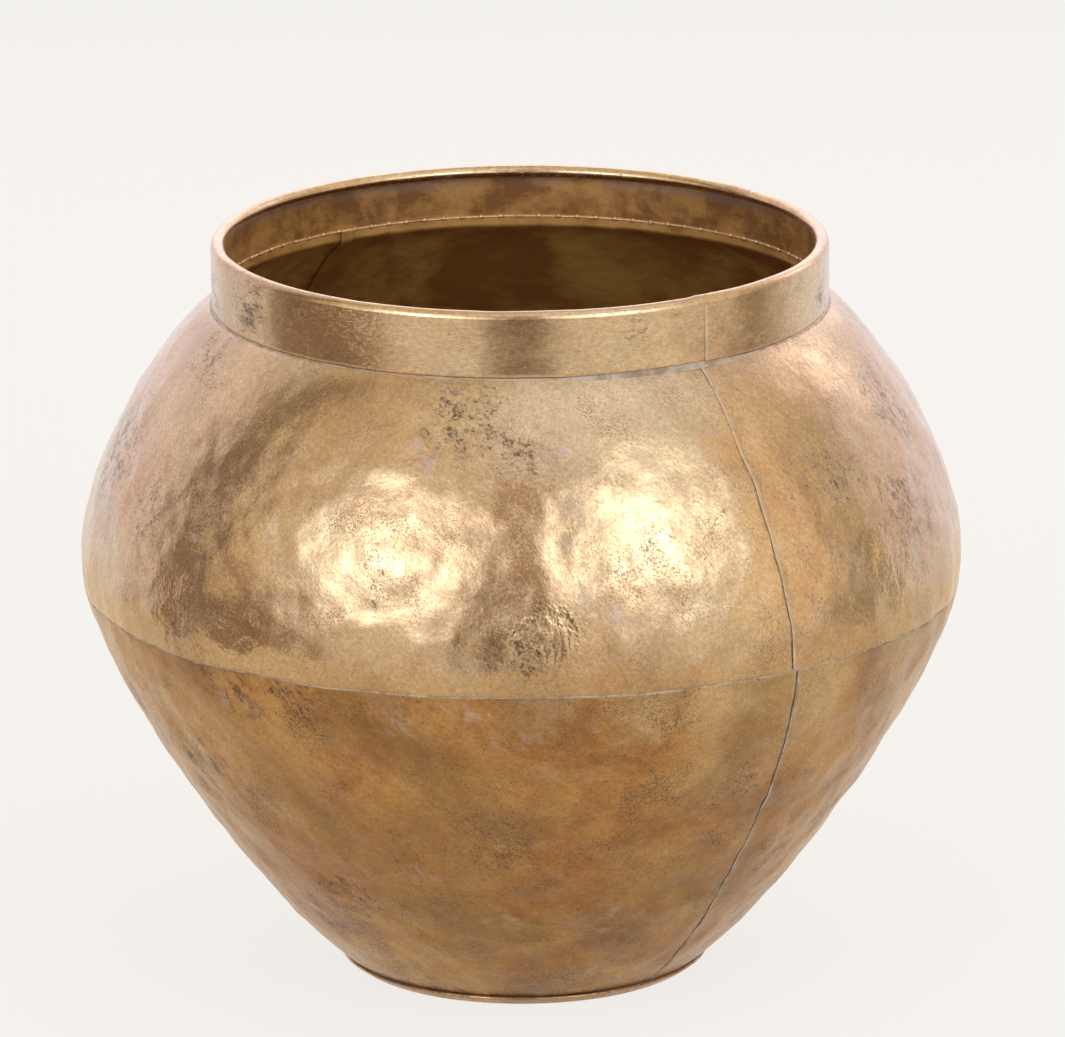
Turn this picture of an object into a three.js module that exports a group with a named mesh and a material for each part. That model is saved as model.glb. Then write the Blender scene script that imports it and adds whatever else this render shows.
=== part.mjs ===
// A round-bellied planter pot, raised and soldered from brass sheet.
// Sizes are millimetres. The pot stands on z = 0 and every ring is centred on the Z axis.
// Angles are degrees round that axis: 0 is the front, on -Y, and they grow towards +X.

import * as THREE from 'three';

// Body, from the ground up
const FOOT_RADIUS = 98.5;
const FOOT_RIM_HEIGHT = 4.5;
const FOOT_FLARE_ANGLE = 54;
const SEAM_HEIGHT = 225;
const BELLY_ABOVE_SEAM = 12;
const BELLY_RADIUS = 250;
const SHOULDER_HEIGHT = 149;
const NECK_SLOPE_ANGLE = 70;

// How far each end of the two body curves pulls before it bends away
const FOOT_PULL = 68;
const LOWER_BELLY_PULL = 51;
const UPPER_BELLY_PULL = 68;
const NECK_PULL = 17;

// Collar with its edge rolled over a wire
const COLLAR_RADIUS = 174;
const COLLAR_HEIGHT = 37;
const ROLL_RADIUS = 4;
const ROLL_TURN_ANGLE = 300;

// Sheet, laps and solder
const SHEET = 1.2;
const CLEARANCE = 0.3;
const NECK_FLANGE = 5.5;
const BELLY_FLANGE = 8;
const LAP_WIDTH = 8;
const LAP_RAMP = 3;
const SOLDER_PROUD = 0.25;
const NECK_SOLDER_LEG = 2.2;
const FOOT_SOLDER_LEG = 1.4;

// Solder tacks on the edge of the neck flange, inside the collar
const TACK_PITCH = 11.2;
const TACK_BEAD = 0.9;
const TACK_REACH = 1.1;
const TACK_WIDTH = 2.4;

// Where the seam on the right of the front runs; the other seam is half a turn away
const COLLAR_SEAM_ANGLE = 36.3;
const NECK_SEAM_ANGLE = 34.5;
const SHOULDER_SEAM_ANGLE = 37.2;
const BELLY_SEAM_ANGLE = 38;
const FOOT_SEAM_ANGLE = 44;

// How finely the solids are faceted
const RING_STEPS = 60;
const LOWER_ROWS = 8;
const UPPER_ROWS = 10;
const ROLL_ROWS = 10;
const WIRE_SIDES = 6;
const TACK_STEPS = 3;
const HALVINGS = 40;

const FULL_TURN = 360;
const HALF_TURN = 180;

const bellyHeight = SEAM_HEIGHT + BELLY_ABOVE_SEAM;
const neckHeight = bellyHeight + SHOULDER_HEIGHT;
const rimHeight = neckHeight + COLLAR_HEIGHT;

function radians(degrees) {
  return THREE.MathUtils.degToRad(degrees);
}

// The clearance that two faceted rings need, so that no corner of one reaches a flat of the other
function ringGap(radius) {
  return CLEARANCE + radius * (1 - Math.cos(Math.PI / RING_STEPS));
}

const lapDepth = SHEET + ringGap(BELLY_RADIUS);
const collarLapDepth = SHEET + ringGap(COLLAR_RADIUS);
const flangeRadius = COLLAR_RADIUS - SHEET - ringGap(COLLAR_RADIUS);

// Points are (radius, height) pairs held in a Vector2 until they are turned about the axis.
function point(radius, height) {
  return new THREE.Vector2(radius, height);
}

function turned(place, degrees) {
  const angle = radians(degrees);
  return new THREE.Vector3(place.x * Math.sin(angle), -place.x * Math.cos(angle), place.y);
}

function arcDegrees(length, radius) {
  return THREE.MathUtils.radToDeg(length / radius);
}

// A slope is measured from upright: 0 goes straight up and 90 goes straight out.
function along(start, slope, length) {
  const angle = radians(slope);
  return point(start.x + length * Math.sin(angle), start.y + length * Math.cos(angle));
}

function outwardOf(from, to) {
  const run = to.clone().sub(from).normalize();
  return point(run.y, -run.x);
}

// For each point of an outside line, the vector that one millimetre of depth follows inwards
function inwardVectors(line) {
  return line.map((_, i) => {
    const below = i > 0 ? outwardOf(line[i - 1], line[i]) : outwardOf(line[0], line[1]);
    const above = i < line.length - 1 ? outwardOf(line[i], line[i + 1]) : below;
    return below.clone().add(above).divideScalar(-(1 + below.dot(above)));
  });
}

function sunk(line, depths) {
  const inward = inwardVectors(line);
  return line.map((place, i) => place.clone().addScaledVector(inward[i], depths[i]));
}

function spread(low, high, count) {
  return Array.from({ length: count }, (_, i) => low + ((high - low) * (i + 1)) / (count + 1));
}

// Base pan: a flat disc with a rim that flares along the bottom of the body
const flare = radians(FOOT_FLARE_ANGLE);
const panRimLength = FOOT_RIM_HEIGHT / Math.cos(flare);
const panFoot = point(FOOT_RADIUS, 0);
const panRimTop = along(panFoot, FOOT_FLARE_ANGLE, panRimLength);
const panOutside = [point(0, 0), panFoot, panRimTop];
const panInside = sunk(panOutside, [SHEET, SHEET, SHEET]);
panInside[0].x = 0;

// The body starts inside that rim and follows its flare.
const bodyFootHeight = SHEET + CLEARANCE;
const rimDepth = SHEET + ringGap(FOOT_RADIUS);
const bodyFootRadius = FOOT_RADIUS + bodyFootHeight * Math.tan(flare) - rimDepth / Math.cos(flare);
const bodyFoot = point(bodyFootRadius, bodyFootHeight);

const lowerCurve = new THREE.CubicBezierCurve(
  bodyFoot,
  along(bodyFoot, FOOT_FLARE_ANGLE, FOOT_PULL),
  point(BELLY_RADIUS, bellyHeight - LOWER_BELLY_PULL),
  point(BELLY_RADIUS, bellyHeight)
);
const neckBend = point(flangeRadius, neckHeight);
const upperCurve = new THREE.CubicBezierCurve(
  point(BELLY_RADIUS, bellyHeight),
  point(BELLY_RADIUS, bellyHeight + UPPER_BELLY_PULL),
  along(neckBend, HALF_TURN - NECK_SLOPE_ANGLE, NECK_PULL),
  neckBend
);

// The outside of the body at one height; both curves climb all the way, so halving finds it.
function bodyAt(height) {
  const curve = height < bellyHeight ? lowerCurve : upperCurve;
  let low = 0;
  let high = 1;
  for (let i = 0; i < HALVINGS; i += 1) {
    const middle = (low + high) / 2;
    if (curve.getPoint(middle).y < height) low = middle;
    else high = middle;
  }
  return curve.getPoint((low + high) / 2);
}

function seamAngle(height, lowAngle, lowHeight, highAngle, highHeight) {
  return THREE.MathUtils.mapLinear(height, lowHeight, highHeight, lowAngle, highAngle);
}

function lowerSeam(height) {
  return seamAngle(height, FOOT_SEAM_ANGLE, 0, BELLY_SEAM_ANGLE, SEAM_HEIGHT);
}

function upperSeam(height) {
  return seamAngle(height, SHOULDER_SEAM_ANGLE, SEAM_HEIGHT, NECK_SEAM_ANGLE, neckHeight);
}

function collarSeam() {
  return COLLAR_SEAM_ANGLE;
}

// Turns corner places and triangle corners into a geometry
function geometryFrom(corners, triangles) {
  const geometry = new THREE.BufferGeometry().setFromPoints(corners);
  geometry.setIndex(triangles);
  geometry.computeVertexNormals();
  return geometry;
}

// A closed sheet over a grid of columns and rows. place(i, j, side) gives a corner on the outside
// (side 0) or the inside (side 1), and kept(i, j) says which cells of the grid are metal.
function closedSheet(columnCount, rowCount, place, kept) {
  const corners = [];
  const triangles = [];
  const known = new Map();

  function corner(i, j, side) {
    const key = `${i} ${j} ${side}`;
    if (!known.has(key)) {
      known.set(key, corners.length);
      corners.push(place(i, j, side));
    }
    return known.get(key);
  }

  function quad(a, b, c, d) {
    triangles.push(a, b, c, a, c, d);
  }

  function wall(i, j, k, l) {
    quad(corner(i, j, 0), corner(k, l, 0), corner(k, l, 1), corner(i, j, 1));
  }

  function metal(i, j) {
    return i >= 0 && j >= 0 && i < columnCount - 1 && j < rowCount - 1 && kept(i, j);
  }

  for (let i = 0; i < columnCount - 1; i += 1) {
    for (let j = 0; j < rowCount - 1; j += 1) {
      if (metal(i, j)) {
        quad(corner(i, j, 0), corner(i + 1, j, 0), corner(i + 1, j + 1, 0), corner(i, j + 1, 0));
        quad(corner(i, j, 1), corner(i, j + 1, 1), corner(i + 1, j + 1, 1), corner(i + 1, j, 1));
        if (!metal(i - 1, j)) wall(i, j, i, j + 1);
        if (!metal(i + 1, j)) wall(i + 1, j + 1, i + 1, j);
        if (!metal(i, j - 1)) wall(i + 1, j, i, j);
        if (!metal(i, j + 1)) wall(i, j + 1, i + 1, j + 1);
      }
    }
  }
  return geometryFrom(corners, triangles);
}

// A sheet turned about the axis from its plain edge, which lies on top of the seam, through span
// degrees to its other edge. Between the rows named by lap that other edge steps inwards and
// carries on under the plain edge of the next sheet.
function turnedSheet({ line, seam, span, depth, lap }) {
  const inward = inwardVectors(line);
  const steps = Math.round((RING_STEPS * span) / FULL_TURN);
  const rampColumn = steps;
  const stepColumn = steps + 1;
  const lapColumn = steps + 2;

  function offsetAt(i, radius) {
    if (i < rampColumn) return (span * i) / steps;
    if (i === rampColumn) return span - arcDegrees(LAP_RAMP + CLEARANCE, radius);
    if (i === stepColumn) return span - arcDegrees(CLEARANCE, radius);
    return span + arcDegrees(LAP_WIDTH, radius);
  }

  function lapped(j) {
    return j >= lap.first && j <= lap.last;
  }

  function place(i, j, side) {
    const step = i >= stepColumn && lapped(j) ? depth : 0;
    const base = line[j].clone().addScaledVector(inward[j], step + side * SHEET);
    return turned(base, seam(line[j].y) + offsetAt(i, line[j].x));
  }

  function kept(i, j) {
    return i < stepColumn || (lapped(j) && lapped(j + 1));
  }

  return closedSheet(lapColumn + 1, line.length, place, kept);
}

// A bar of solder with three corners in section, which fills the step beside a plain edge.
// It runs along the lapped rows of a sheet.
function seamSolder({ line, seam, depth, lap }) {
  const inward = inwardVectors(line);
  const thinEnd = LAP_RAMP * (1 - (CLEARANCE - SOLDER_PROUD) / depth);
  const section = [
    { across: -CLEARANCE, down: -SOLDER_PROUD },
    { across: -CLEARANCE - thinEnd, down: -SOLDER_PROUD },
    { across: -CLEARANCE, down: depth - CLEARANCE },
  ];
  const corners = [];
  for (let j = lap.first; j <= lap.last; j += 1) {
    for (const { across, down } of section) {
      const base = line[j].clone().addScaledVector(inward[j], down);
      corners.push(turned(base, seam(line[j].y) + arcDegrees(across, line[j].x)));
    }
  }
  const sides = section.length;
  const last = corners.length - sides;
  const triangles = [0, 1, 2, last, last + 2, last + 1];
  for (let start = 0; start < last; start += sides) {
    for (let k = 0; k < sides; k += 1) {
      const next = (k + 1) % sides;
      triangles.push(start + k, start + sides + k, start + sides + next);
      triangles.push(start + k, start + sides + next, start + next);
    }
  }
  return geometryFrom(corners, triangles);
}

// A full ring whose section closes on itself, or ends on the axis. Its corners stand at the same
// angles as those of a sheet that starts at the given angle.
function ring(section, steps = RING_STEPS, startAngle = 0) {
  const geometry = new THREE.LatheGeometry(section, steps, radians(startAngle));
  geometry.rotateX(Math.PI / 2);
  return geometry;
}

function closedOnItself(section) {
  return [...section, section[0].clone()];
}

// Lower body: from the foot to a flange that is tucked inside the upper body
const bellyStepStart = SEAM_HEIGHT - CLEARANCE - LAP_RAMP;
const lowerLapStart = FOOT_RIM_HEIGHT + FOOT_SOLDER_LEG + LAP_RAMP;
const lowerLapEnd = bellyStepStart - LAP_RAMP;
const lowerHeights = [
  bodyFootHeight,
  lowerLapStart,
  lowerLapStart + LAP_RAMP,
  ...spread(lowerLapStart + LAP_RAMP, lowerLapEnd, LOWER_ROWS),
  lowerLapEnd,
  bellyStepStart,
  SEAM_HEIGHT - CLEARANCE,
  SEAM_HEIGHT + BELLY_FLANGE,
];
const bellyFlangeRows = 2;
const firstLapRow = 2;
const lowerLine = sunk(
  lowerHeights.map(bodyAt),
  lowerHeights.map((_, j) => (j >= lowerHeights.length - bellyFlangeRows ? lapDepth : 0))
);
const lowerLap = { first: firstLapRow, last: firstLapRow + LOWER_ROWS + 1 };
const lowerSheet = { line: lowerLine, seam: lowerSeam, span: HALF_TURN, depth: lapDepth, lap: lowerLap };

// Upper body: from the belly seam over the shoulder to an upright flange inside the collar
const upperLapStart = SEAM_HEIGHT + BELLY_FLANGE + CLEARANCE;
const upperHeights = [
  SEAM_HEIGHT,
  upperLapStart,
  upperLapStart + LAP_RAMP,
  ...spread(upperLapStart + LAP_RAMP, neckHeight - LAP_RAMP, UPPER_ROWS),
  neckHeight - LAP_RAMP,
];
const neckFlangeTop = neckHeight + NECK_FLANGE;
const upperLine = [...upperHeights.map(bodyAt), neckBend, point(flangeRadius, neckFlangeTop)];
const upperLap = { first: firstLapRow, last: firstLapRow + UPPER_ROWS + 1 };
const upperSheet = { line: upperLine, seam: upperSeam, span: HALF_TURN, depth: lapDepth, lap: upperLap };

// Collar: an upright strip that ends in a roll, bent inwards round the wire
const rollCentre = point(COLLAR_RADIUS - ROLL_RADIUS, rimHeight - ROLL_RADIUS);
const tackTop = neckFlangeTop + CLEARANCE + TACK_BEAD;
const collarLapStart = tackTop + CLEARANCE + LAP_RAMP;
const collarLapEnd = rimHeight - 2 * ROLL_RADIUS - CLEARANCE - LAP_RAMP;

function rollPoint(radius, degrees) {
  const angle = radians(degrees);
  return point(rollCentre.x + radius * Math.cos(angle), rollCentre.y + radius * Math.sin(angle));
}

const rollAngles = Array.from({ length: ROLL_ROWS + 1 }, (_, k) => (ROLL_TURN_ANGLE * k) / ROLL_ROWS);
const collarLine = [
  point(COLLAR_RADIUS, neckHeight + CLEARANCE),
  point(COLLAR_RADIUS, collarLapStart - LAP_RAMP),
  point(COLLAR_RADIUS, collarLapStart),
  point(COLLAR_RADIUS, collarLapEnd),
  point(COLLAR_RADIUS, collarLapEnd + LAP_RAMP),
  ...rollAngles.map((degrees) => rollPoint(ROLL_RADIUS, degrees)),
];
const collarLap = { first: firstLapRow, last: firstLapRow + 1 };
const collarSheet = {
  line: collarLine,
  seam: collarSeam,
  span: FULL_TURN,
  depth: collarLapDepth,
  lap: collarLap,
};

// The wire that the roll is closed on
function rimWire() {
  const rollInside = (ROLL_RADIUS - SHEET) * Math.cos(radians(ROLL_TURN_ANGLE / ROLL_ROWS / 2));
  const section = Array.from({ length: WIRE_SIDES }, (_, k) =>
    rollPoint(rollInside - CLEARANCE, (FULL_TURN * k) / WIRE_SIDES)
  );
  return ring(closedOnItself(section), RING_STEPS, COLLAR_SEAM_ANGLE);
}

// A bead along the neck flange's edge, drawn out into a small tack at every pitch
function neckTacks() {
  const outside = COLLAR_RADIUS - SHEET - ringGap(COLLAR_RADIUS);
  const inside = flangeRadius - SHEET;
  const bottom = neckFlangeTop + CLEARANCE;
  const section = [
    point(inside, bottom),
    point(outside, bottom),
    point((inside + outside) / 2, bottom + TACK_BEAD),
  ];
  const count = Math.round((2 * Math.PI * inside) / TACK_PITCH);
  const geometry = ring(closedOnItself(section), count * TACK_STEPS);
  const places = geometry.getAttribute('position');
  const halfWidth = arcDegrees(TACK_WIDTH / 2, inside);
  const innerEdge = (3 * inside + outside) / 4;
  const stepAngle = FULL_TURN / (count * TACK_STEPS);
  for (let i = 0; i < places.count; i += 1) {
    const radius = Math.hypot(places.getX(i), places.getY(i));
    const step = Math.floor(i / (section.length + 1)) % (count * TACK_STEPS);
    const placeInPitch = step % TACK_STEPS;
    const pitchStart = (step - placeInPitch) * stepAngle;
    const reach = placeInPitch === 1 && radius < innerEdge ? TACK_REACH : 0;
    const moved = turned(
      point(radius - reach, places.getZ(i)),
      pitchStart + placeInPitch * halfWidth
    );
    places.setXYZ(i, moved.x, moved.y, moved.z);
  }
  return geometry;
}

// The height of the faceted shoulder under a given radius
function shoulderHeight(radius) {
  const above = upperLine.findIndex((place, j) => j > 0 && place.y > bellyHeight && place.x <= radius);
  const low = upperLine[above - 1];
  const high = upperLine[above];
  return THREE.MathUtils.mapLinear(radius, low.x, high.x, low.y, high.y);
}

// A fillet of solder in the corner between the collar and the shoulder
function neckSolder() {
  const gap = ringGap(COLLAR_RADIUS);
  const inner = COLLAR_RADIUS + gap;
  const outer = inner + NECK_SOLDER_LEG;
  const lift = gap / Math.sin(radians(NECK_SLOPE_ANGLE));
  const section = [
    point(inner, shoulderHeight(inner) + lift),
    point(outer, shoulderHeight(outer) + lift),
    point(inner, shoulderHeight(inner) + lift + NECK_SOLDER_LEG),
  ];
  return ring(closedOnItself(section));
}

// Solder in the step under the lower edge of the upper body
function bellySolder() {
  const gap = ringGap(BELLY_RADIUS);
  const thinEnd = LAP_RAMP * (1 - (gap - SOLDER_PROUD) / lapDepth);
  const heights = [SEAM_HEIGHT - CLEARANCE - thinEnd, SEAM_HEIGHT - CLEARANCE];
  const proud = sunk(heights.map(bodyAt), [-SOLDER_PROUD, -SOLDER_PROUD]);
  const deep = sunk(heights.map(bodyAt), [SHEET, SHEET]);
  return ring(closedOnItself([proud[0], proud[1], deep[1]]));
}

// Solder on the top edge of the base pan's rim
function footSolder() {
  const inner = along(panInside[2], FOOT_FLARE_ANGLE, CLEARANCE);
  const outer = inner.clone().add(outwardOf(panFoot, panRimTop).multiplyScalar(SHEET));
  return ring(closedOnItself([inner, outer, along(inner, FOOT_FLARE_ANGLE, FOOT_SOLDER_LEG)]));
}

function basePan() {
  return ring([...panOutside, ...[...panInside].reverse()]);
}

const brass = { color: 0xc39b69, roughness: 0.32, metalness: 1 };
const brownBrass = { color: 0xa57d4b, roughness: 0.38, metalness: 1 };
const solder = { color: 0x8f9096, roughness: 0.5, metalness: 1 };
const wire = { color: 0x8a8a86, roughness: 0.45, metalness: 1 };

const pot = new THREE.Group();

function add(name, geometry, finish, halfTurn = false) {
  const mesh = new THREE.Mesh(geometry, new THREE.MeshStandardMaterial(finish));
  mesh.name = name;
  mesh.rotation.z = halfTurn ? Math.PI : 0;
  pot.add(mesh);
}

add('base_pan', basePan(), brownBrass);
add('foot_solder', footSolder(), solder);
add('lower_shell_back', turnedSheet(lowerSheet), brownBrass);
add('lower_shell_front', turnedSheet(lowerSheet), brownBrass, true);
add('lower_seam_solder_right', seamSolder(lowerSheet), solder);
add('lower_seam_solder_left', seamSolder(lowerSheet), solder, true);
add('belly_solder', bellySolder(), solder);
add('upper_shell_back', turnedSheet(upperSheet), brass);
add('upper_shell_front', turnedSheet(upperSheet), brass, true);
add('upper_seam_solder_right', seamSolder(upperSheet), solder);
add('upper_seam_solder_left', seamSolder(upperSheet), solder, true);
add('neck_tacks', neckTacks(), brass);
add('neck_solder', neckSolder(), solder);
add('collar', turnedSheet(collarSheet), brass);
add('collar_seam_solder', seamSolder(collarSheet), solder);
add('rim_wire', rimWire(), wire);

export default pot;
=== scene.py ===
from collections import namedtuple
from functools import partial
import math

import bmesh
import bpy
from mathutils import Matrix, Vector
from mathutils.geometry import interpolate_bezier


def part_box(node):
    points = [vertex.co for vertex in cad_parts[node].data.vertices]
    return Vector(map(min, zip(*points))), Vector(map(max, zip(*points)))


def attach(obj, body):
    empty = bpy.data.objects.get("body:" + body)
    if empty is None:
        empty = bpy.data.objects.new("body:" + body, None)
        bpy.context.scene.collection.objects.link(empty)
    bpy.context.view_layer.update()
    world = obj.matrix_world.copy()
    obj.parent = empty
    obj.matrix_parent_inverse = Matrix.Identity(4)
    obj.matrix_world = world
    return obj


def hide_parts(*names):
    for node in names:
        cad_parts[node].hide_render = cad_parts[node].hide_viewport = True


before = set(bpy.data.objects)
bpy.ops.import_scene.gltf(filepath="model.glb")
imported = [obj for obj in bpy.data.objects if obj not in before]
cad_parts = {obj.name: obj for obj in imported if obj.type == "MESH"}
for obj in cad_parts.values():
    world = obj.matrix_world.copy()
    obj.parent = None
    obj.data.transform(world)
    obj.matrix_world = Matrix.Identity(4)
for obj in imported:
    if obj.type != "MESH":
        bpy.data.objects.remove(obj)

# The dressed look of a hand-hammered brass planter pot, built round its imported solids.
# Sizes are metres, and the pot stands on z = 0 with its axis on Z. Places round that axis are
# angles from the front, which is -Y, growing towards +X.

bl_info = {
    "name": "Hammered brass planter pot",
    "version": (1, 0, 0),
    "blender": (4, 5, 0),
    "location": "3D View > Sidebar > Planter Pot",
    "description": "Builds the beaten sheets, solder and rolled rim of a brass planter pot",
    "category": "Object",
}

MM = 0.001
HALF_TURN = math.pi
FULL_TURN = 2 * math.pi
FINE_STEPS = 144
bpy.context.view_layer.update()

# How the photograph was framed
PHOTO_WIDTH = 1065
FOCAL_PIXELS = 10577
SENSOR_WIDTH = 36


def widest(*nodes):
    """The largest distance that the nodes reach from the axis, measured along X and Y."""
    reach = 0
    for node in nodes:
        lowest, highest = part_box(node)
        reach = max(reach, -lowest.x, -lowest.y, highest.x, highest.y)
    return reach


def lowest_of(node):
    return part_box(node)[0].z


def highest_of(node):
    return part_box(node)[1].z


def linear(hex_colour):
    """An sRGB hex colour as three linear values."""
    channels = [int(hex_colour[i:i + 2], 16) / 255 for i in (1, 3, 5)]
    return [c / 12.92 if c <= 0.04045 else ((c + 0.055) / 1.055) ** 2.4 for c in channels]


def length(name, description, metres):
    return bpy.props.FloatProperty(
        name=name, description=description, default=metres, unit="LENGTH", precision=4
    )


def turn(name, description, degrees):
    return bpy.props.FloatProperty(
        name=name, description=description, default=math.radians(degrees), subtype="ANGLE"
    )


def colour(name, description, hex_colour):
    return bpy.props.FloatVectorProperty(
        name=name, description=description, default=linear(hex_colour), subtype="COLOR", min=0, max=1
    )


def amount(name, description, value):
    return bpy.props.FloatProperty(name=name, description=description, default=value, min=0)


FOOT_FLARE = 54
FOOT_RIM_HEIGHT = highest_of("base_pan")
FOOT_RADIUS = widest("base_pan") - FOOT_RIM_HEIGHT * math.tan(math.radians(FOOT_FLARE))
BELLY_RADIUS = widest("upper_shell_back", "upper_shell_front")


class PotSizes(bpy.types.PropertyGroup):
    """The pot's outline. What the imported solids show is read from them."""

    foot_radius: length("Foot radius", "Edge of the flat base", FOOT_RADIUS)
    foot_rim: length("Foot rim", "Height of the base pan's rim", FOOT_RIM_HEIGHT)
    foot_flare: turn("Foot flare", "Slope of the rim, from upright", FOOT_FLARE)
    seam_height: length("Seam height", "Lower edge of the upper body", lowest_of("upper_shell_back"))
    belly_rise: length("Belly rise", "Widest place above the belly seam", 12 * MM)
    belly_radius: length("Belly radius", "Widest place, less the room for dents", BELLY_RADIUS - 0.6 * MM)
    neck_height: length("Neck height", "Where the shoulder meets the collar", 386 * MM)
    neck_radius: length("Neck radius", "Outside of the flange inside the collar", 172.3 * MM)
    neck_slope: turn("Neck slope", "Slope of the shoulder at the collar, from upright", 70)
    neck_flange: length("Neck flange", "How far the flange stands up inside the collar", 5.5 * MM)
    collar_low: length("Collar's lower edge", "Height of its lower edge", lowest_of("collar") - 0.75 * MM)
    collar_radius: length("Collar radius", "Outside of the collar", widest("collar"))
    rim_height: length("Rim height", "Top of the rolled edge", highest_of("collar") - 0.7 * MM)
    roll_radius: length("Roll radius", "Outside of the rolled edge", 3.9 * MM)
    roll_band: length("Roll band", "Nearly flat band below the round part of the roll", 2 * MM)
    roll_lean: turn("Roll lean", "How far that band leans in", 23)
    band_bend: turn("Band bend", "How much the band is bent over its width", 14)
    roll_turn: turn("Roll turn", "How far the edge is rolled round its wire", 300)
    wire_radius: length("Wire radius", "Iron wire inside the rolled edge", 2.45 * MM)
    foot_pull: length("Foot pull", "How far the body keeps the foot's slope", 68 * MM)
    lower_pull: length("Lower pull", "How far the belly keeps upright below its widest place", 51 * MM)
    upper_pull: length("Upper pull", "How far the belly keeps upright above its widest place", 68 * MM)
    neck_pull: length("Neck pull", "How far the shoulder keeps the neck's slope", 17 * MM)


class SeamPlaces(bpy.types.PropertyGroup):
    """Where the upright seam on the right of the front runs; the other one is half a turn away."""

    foot: turn("Foot", "Lower body seam at the foot", 44)
    belly: turn("Belly", "Lower body seam at the belly", 38)
    shoulder: turn("Shoulder", "Upper body seam at the belly", 37.2)
    neck: turn("Neck", "Upper body seam at the neck", 34.5)
    collar: turn("Collar", "Collar seam", 36.3)


class SheetWork(bpy.types.PropertyGroup):
    """How the sheet is cut, lapped and beaten."""

    sheet: length("Sheet", "Thickness of the brass sheet", 1.2 * MM)
    clearance: length("Clearance", "Space between two sheets", 0.35 * MM)
    lap: length("Lap", "How far a sheet runs under the next one", 8 * MM)
    step: length("Step", "Width of the step down beside a seam", 1.1 * MM)
    proud_edge: length("Proud edge", "How far a plain edge stands up at a seam", 0.25 * MM)
    proud_width: length("Proud width", "Width of the stretch that rises to a plain edge", 2.6 * MM)
    belly_tuck: length("Belly tuck", "How far the lower body runs up inside the upper one", 8 * MM)
    edge_round: length("Edge round", "Rounding of the cut edges", 0.35 * MM)
    joint_rise: length("Joint rise", "How far the rolled edge steps up right of its joint", 0.6 * MM)
    dent_size: length("Dent size", "Spacing of the broad hammer marks", 27 * MM)
    dent_depth: length("Dent depth", "How far the broad marks move the sheet", 2.4 * MM)
    facet_size: length("Facet size", "Width of the flat facets that a hammer leaves", 19 * MM)
    facet_depth: length("Facet depth", "Depth of those facets", 0.3 * MM)
    tap_size: length("Tap size", "Width of the small hammer marks", 8 * MM)
    tap_depth: length("Tap depth", "Depth of the small hammer marks", 0.32 * MM)
    sway_size: length("Sway size", "Spacing of the slow unevenness of the whole pot", 110 * MM)
    sway: length("Sway", "How far the whole pot is out of true", 1.1 * MM)
    loose_above: length("Loose above", "Height above which the dents have their full depth", 30 * MM)
    stiff_above: length("Stiff above", "Height above which the rolled rim holds the sheet in shape", 330 * MM)
    stiff_fade: length("Stiff fade", "Height over which it does so more and more", 50 * MM)
    grid: length("Grid", "Spacing of the first corners, before they are subdivided", 10 * MM)
    tack_pitch: length("Tack pitch", "Spacing of the tacks inside the neck", 11.2 * MM)


class Finishes(bpy.types.PropertyGroup):
    """Colours of the metals and of what has grown on them."""

    golden: colour("Golden brass", "Polished places of the upper body", "#DEC096")
    tan: colour("Tan brass", "Rubbed and warmer places of the upper body", "#CBA57B")
    brown: colour("Brown brass", "Lower body", "#CEA366")
    orange: colour("Orange brass", "Warmer places of the lower body", "#B47C47")
    dark: colour("Dark tarnish", "Blotches, pits and dirt", "#4A3322")
    lilac: colour("Lilac bloom", "Pale grey-lilac bloom of old tarnish", "#A69A9C")
    haze: colour("Haze", "Rose-grey dust and wax that shows where the sheet turns away", "#EBD2DC")
    inside: colour("Inside", "Unpolished metal inside the belly", "#BF974F")
    inside_dark: colour("Inside, darker", "Soot and old varnish inside the belly", "#8C5D2A")
    collar_inside: colour("Collar inside", "Inner wall of the collar", "#D09F5F")
    collar_dull: colour("Collar inside, duller", "Stained places of the collar's inner wall", "#8A5F34")
    solder: colour("Solder", "Soft solder", "#B3A698")
    solder_dark: colour("Dark solder", "Tarnished places of the solder", "#96826E")
    solder_rubbed: colour("Rubbed solder", "Thin solder that the brass shows through", "#D2B48C")
    tack: colour("Tacks", "Bright metal of the tacks", "#D9BC8C")
    wire: colour("Wire", "Drawn iron wire", "#8A8A86")


class StudioSetup(bpy.types.PropertyGroup):
    """Camera and light."""

    distance: length("Camera distance", "From the camera to the pot's axis", 6)
    elevation: turn("Camera elevation", "How far the camera looks down", 15.91)
    roll: turn("Camera roll", "Tilt of the camera round its own line of sight", 0.38)
    aim_side: length("Aim side", "The camera's aim beside the pot's axis", 6.1 * MM)
    aim_height: length("Aim height", "Height of the camera's aim on the pot's axis", 257.4 * MM)
    stand_height: length("Stand height", "Height on the axis that the elevation is measured from", 215 * MM)
    backdrop: colour("Backdrop", "Floor and backdrop", "#F3F1ED")
    cool: colour("Cool cards", "Softboxes, a little cooler than the backdrop", "#F2F5FA")
    warm: colour("Warm cards", "Dark screens, which are warmer", "#FFEED2")
    umber: colour("Umber cards", "The darkest screens", "#FFDDC6")
    rose: colour("Rose cards", "Side walls, a little pink", "#FFF4F8")
    backdrop_glow: amount("Backdrop glow", "Strength of the floor's own glow", 1.02)
    room_light: amount("Room light", "Strength of the light from all round", 0.75)


GROUPS = {
    "pot_sizes": PotSizes,
    "pot_seams": SeamPlaces,
    "pot_sheet": SheetWork,
    "pot_finish": Finishes,
    "pot_studio": StudioSetup,
}


# Places and lines

def on_ring(radius, angle, height):
    """A place at a radius and an angle from the front."""
    return Vector((radius * math.sin(angle), -radius * math.cos(angle), height))


def uphill(slope, distance):
    """A move in the outline's plane, along a slope measured from upright."""
    return Vector((distance * math.sin(slope), distance * math.cos(slope)))


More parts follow.
